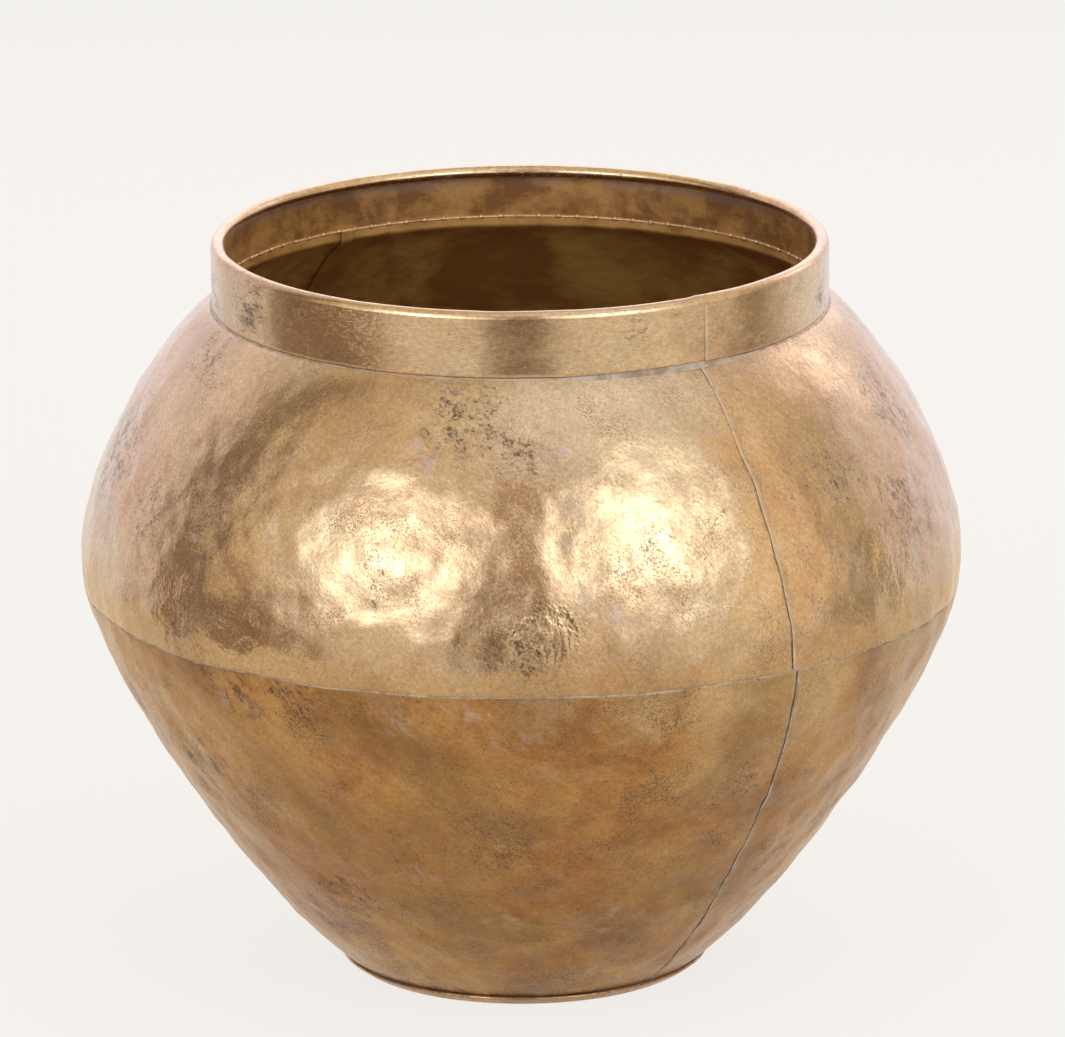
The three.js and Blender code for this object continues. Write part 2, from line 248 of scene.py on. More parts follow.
def on_circle(centre, radius, angle):
    """A place round a centre in the outline's plane, at an angle from outwards."""
    return centre + radius * Vector((math.cos(angle), math.sin(angle)))


def beside(place, across, up):
    """A place some millimetres across and up from another."""
    return place + Vector((across, up)) * MM


def straight(start, end, steps):
    """Evenly spaced places from one to another."""
    return [start.lerp(end, i / steps) for i in range(steps + 1)]


def foot_line(sizes):
    """The edge of the flat base and the top of its flared rim, as (radius, height) places."""
    foot = Vector((sizes.foot_radius, 0))
    return foot, foot + uphill(sizes.foot_flare, sizes.foot_rim / math.cos(sizes.foot_flare))


def body_outline(context):
    """Closely spaced (radius, height) places up the outside of the body, from foot to neck."""
    sizes = context.scene.pot_sizes
    work = context.scene.pot_sheet
    fine = 200
    start = work.sheet + work.clearance
    rim_depth = start / math.cos(sizes.foot_flare)
    foot = Vector((sizes.foot_radius + start * math.tan(sizes.foot_flare) - rim_depth, start))
    belly = Vector((sizes.belly_radius, sizes.seam_height + sizes.belly_rise))
    neck = Vector((sizes.neck_radius, sizes.neck_height))
    leaving_foot = foot + uphill(sizes.foot_flare, sizes.foot_pull)
    nearing_belly = belly - Vector((0, sizes.lower_pull))
    leaving_belly = belly + Vector((0, sizes.upper_pull))
    nearing_neck = neck + uphill(HALF_TURN - sizes.neck_slope, sizes.neck_pull)
    lower = interpolate_bezier(foot, leaving_foot, nearing_belly, belly, fine)
    upper = interpolate_bezier(belly, leaving_belly, nearing_neck, neck, fine)
    return [Vector(place) for place in lower + upper[1:]]


def at_height(outline, height):
    """Where the outline passes a height."""
    for low, high in zip(outline, outline[1:]):
        if high.y >= height:
            return low.lerp(high, (height - low.y) / (high.y - low.y))
    return outline[-1].copy()


def stretch(outline, low, high, spacing):
    """Evenly spaced places along the outline between two heights, both ends included."""
    inner = [place for place in outline if low < place.y < high]
    places = [at_height(outline, low), *inner, at_height(outline, high)]
    lengths = [0]
    for here, there in zip(places, places[1:]):
        lengths.append(lengths[-1] + (there - here).length)
    steps = max(1, round(lengths[-1] / spacing))
    chosen = []
    for step in range(steps + 1):
        wanted = lengths[-1] * step / steps
        after = next(i for i, far in enumerate(lengths) if far >= wanted - 1e-9)
        if after == 0:
            chosen.append(places[0].copy())
        else:
            share = (wanted - lengths[after - 1]) / (lengths[after] - lengths[after - 1])
            chosen.append(places[after - 1].lerp(places[after], share))
    return chosen


def sunk(line, depths):
    """The line moved inwards by its depths, square to itself."""
    moved = []
    for i, place in enumerate(line):
        before = line[max(i - 1, 0)]
        after = line[min(i + 1, len(line) - 1)]
        run = (after - before).normalized()
        moved.append(place + Vector((-run.y, run.x)) * depths[i])
    return moved


def seam_line(line, angle_at, arc):
    """The line laid beside a seam, arc metres round from it."""
    return [on_ring(place.x, angle_at(place.y) + arc / place.x, place.y) for place in line]


def at_radius(outline, radius):
    """Where the shoulder comes in to a radius."""
    for above, below in zip(outline[::-1], outline[-2::-1]):
        if below.x >= radius:
            return above.lerp(below, (radius - above.x) / (below.x - above.x))
    return outline[0].copy()


# An upright seam, which runs a little aslant: the heights of its ends, and its angles there
Seam = namedtuple("Seam", "low high low_angle high_angle")


def body_seam(context, body):
    """The right seam of the lower or the upper body."""
    sizes = context.scene.pot_sizes
    seams = context.scene.pot_seams
    if body == "lower":
        return Seam(0, sizes.seam_height, seams.foot, seams.belly)
    return Seam(sizes.seam_height, sizes.neck_height, seams.shoulder, seams.neck)


def seam_angle(seam, turned, height):
    """Angle at a height of a line that is turned from a seam."""
    share = (height - seam.low) / (seam.high - seam.low)
    return seam.low_angle + (seam.high_angle - seam.low_angle) * share + turned


def roll_centre(sizes):
    """Middle of the rolled edge, as radius and height."""
    reach = sizes.roll_radius * math.cos(sizes.roll_lean + 0.5 * sizes.band_bend)
    reach += sizes.roll_band * math.sin(sizes.roll_lean)
    return Vector((sizes.collar_radius - reach, sizes.rim_height - sizes.roll_radius))


def rolled_edge(sizes):
    """The collar's edge: it leans in along a narrow band and then curls round the wire."""
    centre = roll_centre(sizes)
    lean = sizes.roll_lean + 0.5 * sizes.band_bend
    line = [on_circle(centre, sizes.roll_radius, lean) + uphill(-sizes.roll_lean, -sizes.roll_band)]
    line.append(line[0] + uphill(0.25 * sizes.band_bend - sizes.roll_lean, 0.5 * sizes.roll_band))
    steps = 13
    for i in range(steps + 1):
        line.append(on_circle(centre, sizes.roll_radius, lean + (sizes.roll_turn - lean) * i / steps))
    return line


# Modelling

def start_piece(name):
    """An empty mesh piece, open in edit mode at the origin."""
    if bpy.context.object and bpy.context.object.mode != "OBJECT":
        bpy.ops.object.mode_set(mode="OBJECT")
    bpy.ops.object.select_all(action="DESELECT")
    bpy.ops.mesh.primitive_plane_add(size=MM, enter_editmode=True, location=(0, 0, 0))
    bpy.ops.mesh.delete(type="VERT")
    piece = bpy.context.object
    piece.name = name
    piece.data.name = name
    return piece


def draw_line(points):
    """Adds a line of corners through the points, which stays selected."""
    bpy.ops.mesh.select_all(action="DESELECT")
    bpy.ops.mesh.primitive_plane_add(size=MM, location=(0, 0, 0))
    bpy.ops.mesh.merge(type="CENTER")
    bpy.ops.transform.translate(value=points[0])
    for here, there in zip(points, points[1:]):
        bpy.ops.mesh.extrude_vertices_move(TRANSFORM_OT_translate={"value": there - here})


def pick(piece, wanted):
    """Selects the corners whose number and place pass a test."""
    net = bmesh.from_edit_mesh(piece.data)
    for i, corner in enumerate(net.verts):
        corner.select = wanted(i, corner.co)
    net.select_flush_mode()
    net.select_flush(True)
    bmesh.update_edit_mesh(piece.data)


def select_newest(piece, count):
    """Selects the corners that were added last."""
    first = len(bmesh.from_edit_mesh(piece.data).verts) - count
    pick(piece, lambda i, place: i >= first)


def spin_on(piece, count, steps, angle):
    """Turns the line that was drawn last round the axis; faces follow it."""
    select_newest(piece, count)
    bpy.ops.mesh.spin(steps=steps, angle=-angle, center=(0, 0, 0), axis=(0, 0, 1))


def join_line(piece, points):
    """Draws a line and spans faces to it from the line before."""
    draw_line(points)
    select_newest(piece, 2 * len(points))
    bpy.ops.mesh.bridge_edge_loops()


def from_axis(place):
    return Vector((place.x, place.y, 0))


def face_outwards(piece, outward_at=from_axis):
    """Makes the normals agree and point outwards, which is away from the axis if not told otherwise."""
    bpy.ops.mesh.select_all(action="SELECT")
    bpy.ops.mesh.normals_make_consistent(inside=False)
    outward = 0
    for face in bmesh.from_edit_mesh(piece.data).faces:
        outward += face.calc_area() * face.normal.dot(outward_at(face.calc_center_median()))
    if outward < 0:
        bpy.ops.mesh.flip_normals()


def close_piece():
    """Merges doubled corners and leaves edit mode."""
    bpy.ops.mesh.select_all(action="SELECT")
    bpy.ops.mesh.remove_doubles(threshold=0.01 * MM)
    bpy.ops.object.mode_set(mode="OBJECT")


def finish_with(piece, kind, **settings):
    """Adds a modifier, sets it and applies it."""
    modifier = piece.modifiers.new(name=kind.title(), type=kind)
    for key, value in settings.items():
        setattr(modifier, key, value)
    bpy.ops.object.modifier_apply(modifier=modifier.name)


def weigh(piece, name, weight_at):
    """A vertex group whose weights come from each corner's place."""
    group = piece.vertex_groups.new(name=name)
    for corner in piece.data.vertices:
        group.add([corner.index], weight_at(corner.co), "REPLACE")
    return group.name


def marks(name, kind, size, **settings):
    """A procedural pattern for a displace modifier, with marks of a size."""
    texture = bpy.data.textures.get(name) or bpy.data.textures.new(name, kind)
    texture.noise_scale = size
    for key, value in settings.items():
        setattr(texture, key, value)
    return texture


def ring_piece(name, section, steps):
    """A ring all round the axis from a section line, which closes where its two ends meet."""
    piece = start_piece(name)
    draw_line([on_ring(place.x, 0, place.y) for place in section])
    spin_on(piece, len(section), steps, FULL_TURN)
    close_piece()
    return piece


def turn_outwards():
    """Makes the normals of a closed piece agree, in object mode."""
    bpy.ops.object.mode_set(mode="EDIT")
    bpy.ops.mesh.select_all(action="SELECT")
    bpy.ops.mesh.normals_make_consistent(inside=False)
    bpy.ops.object.mode_set(mode="OBJECT")


def looseness(work, place):
    """How freely the sheet may leave its true shape: not at all where it stands, and little at the rim."""
    firmness_of_rim = 0.8
    stood = min(1, max(0, place.z / work.loose_above))
    held = min(1, max(0, (place.z - work.stiff_above) / work.stiff_fade))
    return stood * (1 - firmness_of_rim * held)


def warp(piece, work):
    """Moves the piece out of true together with its neighbours, but not where it stands."""
    group = weigh(piece, "loose", partial(looseness, work))
    for name, size, depth in (
        ("slow_sway", work.sway_size, work.sway),
        ("broad_marks", work.dent_size, work.dent_depth),
    ):
        texture = marks(name, "CLOUDS", size, cloud_type="COLOR", noise_depth=1)
        finish_with(
            piece, "DISPLACE", texture=texture, texture_coords="LOCAL", direction="RGB_TO_XYZ",
            strength=depth, mid_level=0.5, vertex_group=group,
        )


def beat(piece, kind, name, size, depth, group, **settings):
    """Small marks, which only sink the surface."""
    finish_with(
        piece, "DISPLACE", texture=marks(name, kind, size, **settings), texture_coords="LOCAL",
        direction="NORMAL", strength=depth, mid_level=1, vertex_group=group,
    )


def smooth_shade(degrees=40):
    bpy.ops.object.shade_smooth_by_angle(angle=math.radians(degrees))


def hand_over(piece, slot, *nodes):
    """Ties a finished piece to the frame."""
    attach(piece, "root")
    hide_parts(*nodes)


def round_off(piece):
    """Ends the edit of an open surface, with its outside outwards, and subdivides it smoothly."""
    face_outwards(piece)
    bpy.ops.object.mode_set(mode="OBJECT")
    finish_with(piece, "SUBSURF", levels=2, render_levels=2, boundary_smooth="PRESERVE_CORNERS")


def thicken(piece, work, outer, inner):
    """Gives an open surface the sheet's thickness, inwards, and rounds its cut edges."""
    piece.data.materials.append(outer)
    piece.data.materials.append(inner)
    finish_with(
        piece, "SOLIDIFY", thickness=work.sheet, offset=-1, material_offset=1, material_offset_rim=0,
    )
    finish_with(
        piece, "BEVEL", width=work.edge_round, segments=2, limit_method="ANGLE",
        angle_limit=math.radians(50),
    )
    smooth_shade()


def beaten_sheet(piece, work, outer, inner):
    """Finishes an open surface as hammered sheet, with its outside where the surface was."""
    round_off(piece)
    warp(piece, work)
    beat(piece, "VORONOI", "facets", work.facet_size, work.facet_depth, "loose")
    beat(piece, "CLOUDS", "small_marks", work.tap_size, work.tap_depth, "loose", noise_depth=0)
    thicken(piece, work, outer, inner)


def step_down(piece, work, line, depths, angle_at, arcs):
    """Ends a sheet with a step down beside a seam, and takes it on under the next sheet."""
    before_step = -work.step - 0.3 * MM
    rows = [(before_step, 0), (-0.5 * work.step, 0.5), *((arc, 1) for arc in arcs)]
    for arc, share in rows:
        lowered = sunk(line, [share * depth for depth in depths])
        join_line(piece, seam_line(lowered, angle_at, arc))


def half_shell(context, name, line, seam, turned, outer, inner):
    """Half of a body: from its plain edge on one seam round to a lap under the next sheet."""
    work = context.scene.pot_sheet
    depth = work.sheet + work.clearance
    last_gap = math.radians(3.2)  # what the spin leaves for the rows beside the far seam
    proud = sunk(line, [-work.proud_edge] * len(line))
    columns = round(HALF_TURN * widest_of(line) / work.grid)
    near_angle = partial(seam_angle, seam, turned)
    far_angle = partial(seam_angle, seam, turned + HALF_TURN)
    piece = start_piece(name)
    draw_line(seam_line(proud, near_angle, 0))
    join_line(piece, seam_line(line, near_angle, work.proud_width))
    spin_on(piece, len(line), columns, HALF_TURN - last_gap)
    step_down(piece, work, line, [depth] * len(line), far_angle, (0, 0.4 * work.lap, work.lap))
    beaten_sheet(piece, work, outer, inner)
    return piece


def both_halves(context, body, line, outer_name):
    """The back and the front half of a body, each of its own sheet."""
    seam = body_seam(context, body)
    outer = finish_named(context, outer_name)
    inner = finish_named(context, "dull_inner_brass")
    for side, turned in (("back", 0), ("front", HALF_TURN)):
        piece = half_shell(context, f"{body}_half_{side}", line, seam, turned, outer, inner)
        hand_over(piece, f"{body}_brass", f"{body}_shell_{side}")


def widest_of(line):
    return max(place.x for place in line)


def run_solder(context, piece, node, material, lumps, thickness=None):
    """Makes a solder line out of true like its sheets and lumpy, and hands it over."""
    warp(piece, context.scene.pot_sheet)
    beat(piece, "CLOUDS", "solder_lumps", 4 * MM, lumps, "loose", noise_depth=1)
    if thickness:
        finish_with(piece, "SOLIDIFY", thickness=thickness, offset=-1)
    piece.data.materials.append(finish_named(context, material))
    smooth_shade()
    hand_over(piece, "solder", node)


def seam_strip(context, name, node, line, angle_at, material, sink=1):
    """Solder run into the step beside an upright seam, a little lower than the sheets."""
    piece = start_piece(name)
    # How far beside the seam and how deep in the step each row lies, in millimetres
    rows = ((-1.75, -0.03), (-1.2, -0.03), (-0.8, 0), (-0.45, 0.03), (-0.2, 0.08), (-0.02, 0.2))
    for i, (arc, depth) in enumerate(rows):
        points = seam_line(sunk(line, [sink * depth * MM] * len(line)), angle_at, arc * MM)
        if i == 0:
            draw_line(points)
        else:
            join_line(piece, points)
    round_off(piece)
    run_solder(context, piece, node, material, lumps=0.16 * MM, thickness=0.4 * MM)


def solder_ring(context, name, node, section, lumps=0.3 * MM):
    """Solder run all round the pot along a section that closes on itself."""
    section = [*section, section[0]]
    steps = round(FULL_TURN * widest_of(section) / (0.5 * context.scene.pot_sheet.grid))
    piece = ring_piece(name, section, steps)
    turn_outwards()
    finish_with(piece, "SUBSURF", levels=1, render_levels=1)
    run_solder(context, piece, node, "soft_solder", lumps)
    return piece


# Materials

def empty_tree(owner):
    """The node tree of a material or a world, with nothing in it."""
    owner.use_nodes = True
    owner.node_tree.nodes.clear()
    return owner.node_tree


def feed(tree, node, inputs):
    """Sets a node's inputs. A node stands for its first output; anything else is a plain value."""
    for key, value in inputs.items():
        if isinstance(value, bpy.types.Node):
            value = next(socket for socket in value.outputs if socket.enabled)
        if isinstance(value, bpy.types.NodeSocket):
            tree.links.new(value, node.inputs[key])
        else:
            node.inputs[key].default_value = value


def add_node(tree, kind, inputs=None, **settings):
    """Adds a node with its settings and links."""
    node = tree.nodes.new("ShaderNode" + kind)
    for key, value in settings.items():
        setattr(node, key, value)
    feed(tree, node, inputs or {})
    return node


def new_material(name):
    """A node material, what adds nodes to it, its principled shader and the place on the piece."""
    material = bpy.data.materials.new(name)
    add = partial(add_node, empty_tree(material))
    shader = add("BsdfPrincipled")
    add("OutputMaterial", {"Surface": shader})
    return material, add, shader, add("TexCoord").outputs["Object"]


def rgba(colour_value):
    return (*colour_value, 1)


def patches(add, place, size, low, high, detail=4, roughness=0.6, distortion=0.3, raised=None):
    """A mask of soft patches of a size: 0 below the low noise level and 1 above the high one.

    Where the noise is raised by a share of another mask, the patches come closer together.
    """
    level = add("TexNoise", {
        "Vector": place, "Scale": 1 / size, "Detail": detail, "Roughness": roughness,
        "Distortion": distortion,
    })
    if raised:
        mask, share = raised
        level = add("Math", {0: mask, 1: share, 2: level}, operation="MULTIPLY_ADD")
    return add("MapRange", {
        "Value": level, "From Min": low, "From Max": high,
    }, interpolation_type="SMOOTHSTEP")


def relief_of(add, layers, roughness=0.5, height=0):
    """A bump from layers of noise, each with its place, the size and height of its bumps and its detail."""
    for place, size, rise, detail in layers:
        noise = add("TexNoise", {
            "Vector": place, "Scale": 1 / size, "Detail": detail, "Roughness": roughness,
        })
        height = add("Math", {0: noise, 1: rise, 2: height}, operation="MULTIPLY_ADD")
    return add("Bump", {"Height": height, "Distance": 1, "Strength": 1})


def stained(add, place, outline, spots):
    """A mask of soft round spots, each with an angle, a height, a radius and a strength."""
    mask = None
    for angle, height, radius, strength in spots:
        on_sheet = at_height(outline, height * MM)
        centre = on_ring(on_sheet.x, math.radians(angle), on_sheet.y)
        away = add("VectorMath", {0: place, 1: centre}, operation="DISTANCE")
        spot = add("MapRange", {
            "Value": away, "From Min": radius * MM, "From Max": 0.1 * radius * MM, "To Max": strength,
        }, interpolation_type="SMOOTHSTEP")
        mask = spot if mask is None else add("Math", {0: mask, 1: spot}, operation="MAXIMUM")
    return mask


def beside_seam(add, place, seam, reach):
    """A mask that is 1 on both upright seams and fades out on the sheet that runs under."""
    rate = (seam.high_angle - seam.low_angle) / (seam.high - seam.low)
    at_ground = seam.low_angle - rate * seam.low
    height = add("SeparateXYZ", {"Vector": place}).outputs["Z"]
    angle = add("Math", {0: height, 1: rate, 2: at_ground}, operation="MULTIPLY_ADD")
    turned = add("VectorRotate", {"Vector": place, "Angle": angle}, rotation_type="Z_AXIS", invert=True)
    turned = add("SeparateXYZ", {"Vector": turned}).outputs
    back_half = add("Math", {0: turned["Y"]}, operation="SIGN")
    side = add("Math", {0: turned["X"], 1: back_half}, operation="MULTIPLY")
    under = add("MapRange", {"Value": side, "From Min": reach, "From Max": 0})
    over = add("MapRange", {"Value": side, "From Min": -0.35 * reach, "From Max": 0})
    return add("Math", {0: under, 1: over}, operation="MINIMUM")


# How a beaten sheet looks: its two colours and its seam, where its pits, bloom, folds and rubbed
# places lie, how much it is blotched and worn, how its grain runs, and how it shines
Look = namedtuple("Look", [
    "main", "second", "seam", "pits", "bloom", "folds", "rubbed", "blotches", "grain_stretch", "grain_turn",
    "roughness", "coat", "wear", "relief",
])

# Stains: angle from the front in degrees, height and radius in millimetres, and strength
UPPER_PITS = (
    (-9, 366, 46, 0.95), (-2, 354, 30, 0.9), (2, 348, 22, 0.9), (18, 300, 24, 0.6),
    (12, 337, 26, 0.5), (-20, 278, 14, 0.8), (-50, 238, 28, 0.8),
    (-32, 319, 24, 0.4), (-60, 292, 50, 0.7), (-67, 374, 40, 0.8), (-80, 310, 70, 0.9),
    (50, 322, 48, 0.8), (64, 290, 50, 0.8), (74, 340, 50, 0.8), (0, 250, 30, 1),
    (25, 283, 20, 0.5), (140, 300, 50, 0.8), (-130, 340, 45, 0.8),
)
UPPER_BLOOM = (
    (34, 327, 16, 1), (31, 352, 14, 1), (46, 301, 18, 1), (38, 250, 16, 1), (-66, 382, 16, 1),
    (6, 357, 20, 1), (-45, 240, 14, 1), (-80, 290, 40, 1), (82, 290, 40, 1), (120, 260, 50, 1),
    (-150, 300, 50, 1), (-14, 350, 16, 1),
)
UPPER_FOLDS = (
    (-50, 240, 34, 1), (4, 252, 26, 1), (58, 268, 24, 1), (-38, 238, 16, 1), (160, 250, 40, 1),
    (-120, 245, 35, 1),
)
LOWER_PITS = (
    (-30, 214, 36, 0.9), (-41, 212, 40, 1), (-36, 74, 44, 0.9), (-56, 150, 60, 0.9),
    # The three spots 4 to 6 mm up at the front make the lower body darker towards the foot
    (-70, 170, 60, 0.9), (-48, 60, 40, 0.8), (-28, 6, 44, 0.7), (0, 4, 40, 0.6), (28, 6, 40, 0.6),
    (12, 178, 30, 0.6), (34, 150, 30, 0.7), (-6, 120, 40, 0.5), (24, 60, 36, 0.6), (50, 90, 40, 0.7),
    (-14, 219, 18, 0.8), (170, 140, 60, 0.7), (-110, 120, 50, 0.8),
)
LOWER_BLOOM = (
    (15, 76, 22, 1), (-4, 70, 18, 1), (40, 190, 20, 1), (-62, 120, 40, 1), (64, 110, 40, 1),
    (150, 60, 50, 1),
)
LOWER_FOLDS = ((-58, 150, 60, 1), (-66, 205, 30, 1), (60, 190, 30, 1), (62, 90, 50, 1), (130, 200, 50, 1))
LOWER_RUBBED = (
    (2, 222, 34, 0.6), (16, 221, 40, 0.9), (28, 218, 48, 1), (42, 214, 56, 0.9), (60, 216, 50, 0.7),
    (-18, 222, 24, 0.4), (30, 170, 50, 0.5), (150, 215, 60, 0.8), (-140, 218, 60, 0.7),
)
COLLAR_PITS = (
    (-60, 405, 34, 1), (-44, 408, 18, 0.9), (-30, 402, 16, 0.7), (20, 408, 18, 0.6), (-80, 400, 34, 1),
    (75, 400, 24, 0.9),
)
COLLAR_BLOOM = (
    (14, 412, 10, 1), (-4, 414, 8, 1), (42, 410, 9, 1), (50, 394, 14, 1), (-82, 402, 26, 1),
    (84, 402, 24, 1), (37, 402, 5, 1),
)


def hammered_brass(context, name, look):
    """Brass sheet beaten by hand, left to tarnish and rubbed back unevenly.

    Rubbed places are golden and fairly sharp in reflection. Between them lie duller warm clouds,
    clusters of dark pits and a pale lilac bloom, and the whole surface has a fine slanting grain.
    """
    finish = context.scene.pot_finish
    sizes = context.scene.pot_sizes
    outline = body_outline(context)
    outline.append(Vector((sizes.collar_radius, sizes.collar_low)))
    outline.append(Vector((sizes.collar_radius, sizes.rim_height)))
    material, add, shader, place = new_material(name)
    slanted = add("Mapping", {
        "Vector": place, "Rotation": (0, look.grain_turn, 0), "Scale": look.grain_stretch,
    }, vector_type="TEXTURE")

    # Stains are looked up in a disturbed place, which gives them ragged outlines
    raggedness = 60 * MM
    swirl = add("TexNoise", {"Vector": place, "Scale": 1 / (24 * MM), "Detail": 4, "Roughness": 0.7})
    swirl = add("VectorMath", {0: swirl.outputs["Color"], 1: (0.5, 0.5, 0.5)}, operation="SUBTRACT")
    ragged = add("VectorMath", {0: swirl, 1: [raggedness] * 3, 2: place}, operation="MULTIPLY_ADD")

    # The metal's own colour: broad warm clouds, a mottle of some millimetres and a fine slanting grain
    clouds = patches(add, place, 75 * MM, 0.38, 0.64)
    mottle = patches(add, slanted, 7 * MM, 0.3, 0.75, detail=5, roughness=0.65)
    warmth = add("Math", {0: clouds, 1: 0.6}, operation="MULTIPLY")
    warmth = add("Math", {0: mottle, 1: 0.45, 2: warmth}, operation="MULTIPLY_ADD")
    metal = add("Mix", {"Factor": warmth, "A": rgba(look.main), "B": rgba(look.second)}, data_type="RGBA")
    if look.rubbed:
        bright = stained(add, ragged, outline, look.rubbed)
        metal = add("Mix", {"Factor": bright, "A": metal, "B": rgba(finish.golden)}, data_type="RGBA")
    grain = patches(add, slanted, 1.3 * MM, 0.34, 0.68, roughness=0.75)
    flecks = patches(add, place, 2.6 * MM, 0.28, 0.72, roughness=0.7)
    shade = add("Math", {0: grain, 1: 0.24, 2: 0.68}, operation="MULTIPLY_ADD")
    shade = add("Math", {0: flecks, 1: 0.22, 2: shade}, operation="MULTIPLY_ADD")
    metal = add("VectorMath", {0: metal, 1: shade}, operation="MULTIPLY")

    # Dark specks all over, denser in worn places, and larger pits where the surface is stained
    worn = patches(add, place, 32 * MM, 0.36, 0.7)
    level = 0.665 - 0.035 * look.wear
    specks = patches(
        add, slanted, 0.9 * MM, level, level + 0.09, roughness=0.75, distortion=0, raised=(worn, 0.14),
    )
    loose_clusters = patches(add, place, 42 * MM, 0.52, 0.74)
    loose_clusters = add("Math", {0: loose_clusters, 1: 0.6}, operation="MULTIPLY")
    clusters = stained(add, ragged, outline, look.pits)
    clusters = add("Math", {0: clusters, 1: loose_clusters}, operation="MAXIMUM")
    clumps = patches(add, slanted, 6 * MM, 0.38, 0.62, detail=5, roughness=0.7)
    clumps = add("Math", {0: clumps, 1: 0.7, 2: 0.35}, operation="MULTIPLY_ADD")
    clusters = add("Math", {0: clusters, 1: clumps}, operation="MULTIPLY")
    pits = patches(
        add, slanted, 1.6 * MM, 0.62, 0.74, detail=6, roughness=0.8, distortion=0,
        raised=(clusters, 0.22),
    )
    marked = add("Math", {0: specks, 1: look.wear}, operation="MULTIPLY", use_clamp=True)
    marked = add("Math", {0: marked, 1: pits}, operation="MAXIMUM")

    # Lilac bloom, in small patches inside wide ones and beside the seams
    bloom_wide = patches(add, place, 60 * MM, 0.52, 0.7)
    bloom_spots = stained(add, ragged, outline, look.bloom)
    bloom_wide = add("Math", {0: bloom_wide, 1: bloom_spots}, operation="MAXIMUM")
    bloom_fine = patches(add, slanted, 9 * MM, 0.5, 0.66, detail=5, roughness=0.7)
    bloom = add("Math", {0: bloom_wide, 1: bloom_fine}, operation="MULTIPLY")
    if look.seam:
        near_seam = beside_seam(add, place, look.seam, 5 * MM)
        smears = patches(add, place, 8 * MM, 0.42, 0.56)
        smears = add("Math", {0: near_seam, 1: smears}, operation="MULTIPLY")
        bloom = add("Math", {0: bloom, 1: smears}, operation="MAXIMUM")

    # Broad slanting blotches of thicker tarnish, and upright folds where the sheet was drawn in
    slow = add("Mapping", {
        "Vector": place, "Rotation": (0, math.radians(-45), 0), "Scale": (1, 1, 2),
    }, vector_type="TEXTURE")
    blotches = patches(add, slow, 55 * MM, 0.36, 0.7)
    blotches = add("Math", {0: blotches, 1: look.blotches}, operation="MULTIPLY")
    upright = add("Mapping", {"Vector": place, "Scale": (1, 1, 7)}, vector_type="TEXTURE")
    fold_noise = add("TexNoise", {"Vector": upright, "Scale": 1 / (7 * MM), "Detail": 3, "Distortion": 0.4})
    fold_place = stained(add, ragged, outline, look.folds) if look.folds else 0
    folds = add("Math", {0: fold_noise, 1: fold_place}, operation="MULTIPLY")

    # Dirt and bloom over the metal, and what they do to its gloss
    stain = add("Math", {0: clusters, 1: mottle}, operation="MULTIPLY")
    dirt = add("Math", {0: marked, 1: 0.7}, operation="MULTIPLY")
    dirt = add("Math", {0: stain, 1: 0.5, 2: dirt}, operation="MULTIPLY_ADD")
    dirt = add("Math", {0: dirt, 1: blotches}, operation="MAXIMUM")
    thin_bloom = add("Math", {0: bloom, 1: 0.5}, operation="MULTIPLY")
    skin = metal
    for mask, layer in ((dirt, finish.dark), (thin_bloom, finish.lilac)):
        skin = add("Mix", {"Factor": mask, "A": skin, "B": rgba(layer)}, data_type="RGBA")
    metallic = 1
    for mask, share in ((bloom, -0.35), (marked, -0.15)):
        metallic = add("Math", {0: mask, 1: share, 2: metallic}, operation="MULTIPLY_ADD")
    roughness = look.roughness
    for mask, share in ((mottle, 0.08), (bloom, 0.14), (marked, 0.15)):
        roughness = add("Math", {0: mask, 1: share, 2: roughness}, operation="MULTIPLY_ADD")

    # Relief, in metres: folds, pits, ripples, wrinkles and grain
    height = add("Math", {0: folds, 1: 1.2 * MM}, operation="MULTIPLY")
    height = add("Math", {0: marked, 1: -0.06 * MM, 2: height}, operation="MULTIPLY_ADD")
    ripples = (place, 13 * MM, look.relief * 0.3 * MM, 2)
    wrinkles = (slanted, 3.2 * MM, look.relief * 0.15 * MM, 3)
    fine_grain = (slanted, 1 * MM, look.relief * 0.065 * MM, 2)
    bump = relief_of(add, (ripples, wrinkles, fine_grain), roughness=0.6, height=height)

    feed(material.node_tree, shader, {
        "Base Color": skin, "Metallic": metallic, "Roughness": roughness, "Normal": bump,
        "Coat Weight": look.coat, "Coat Roughness": 0.2, "Coat IOR": 1.5,
        "Sheen Weight": 0.24, "Sheen Roughness": 0.3, "Sheen Tint": rgba(finish.haze),
    })
    return material


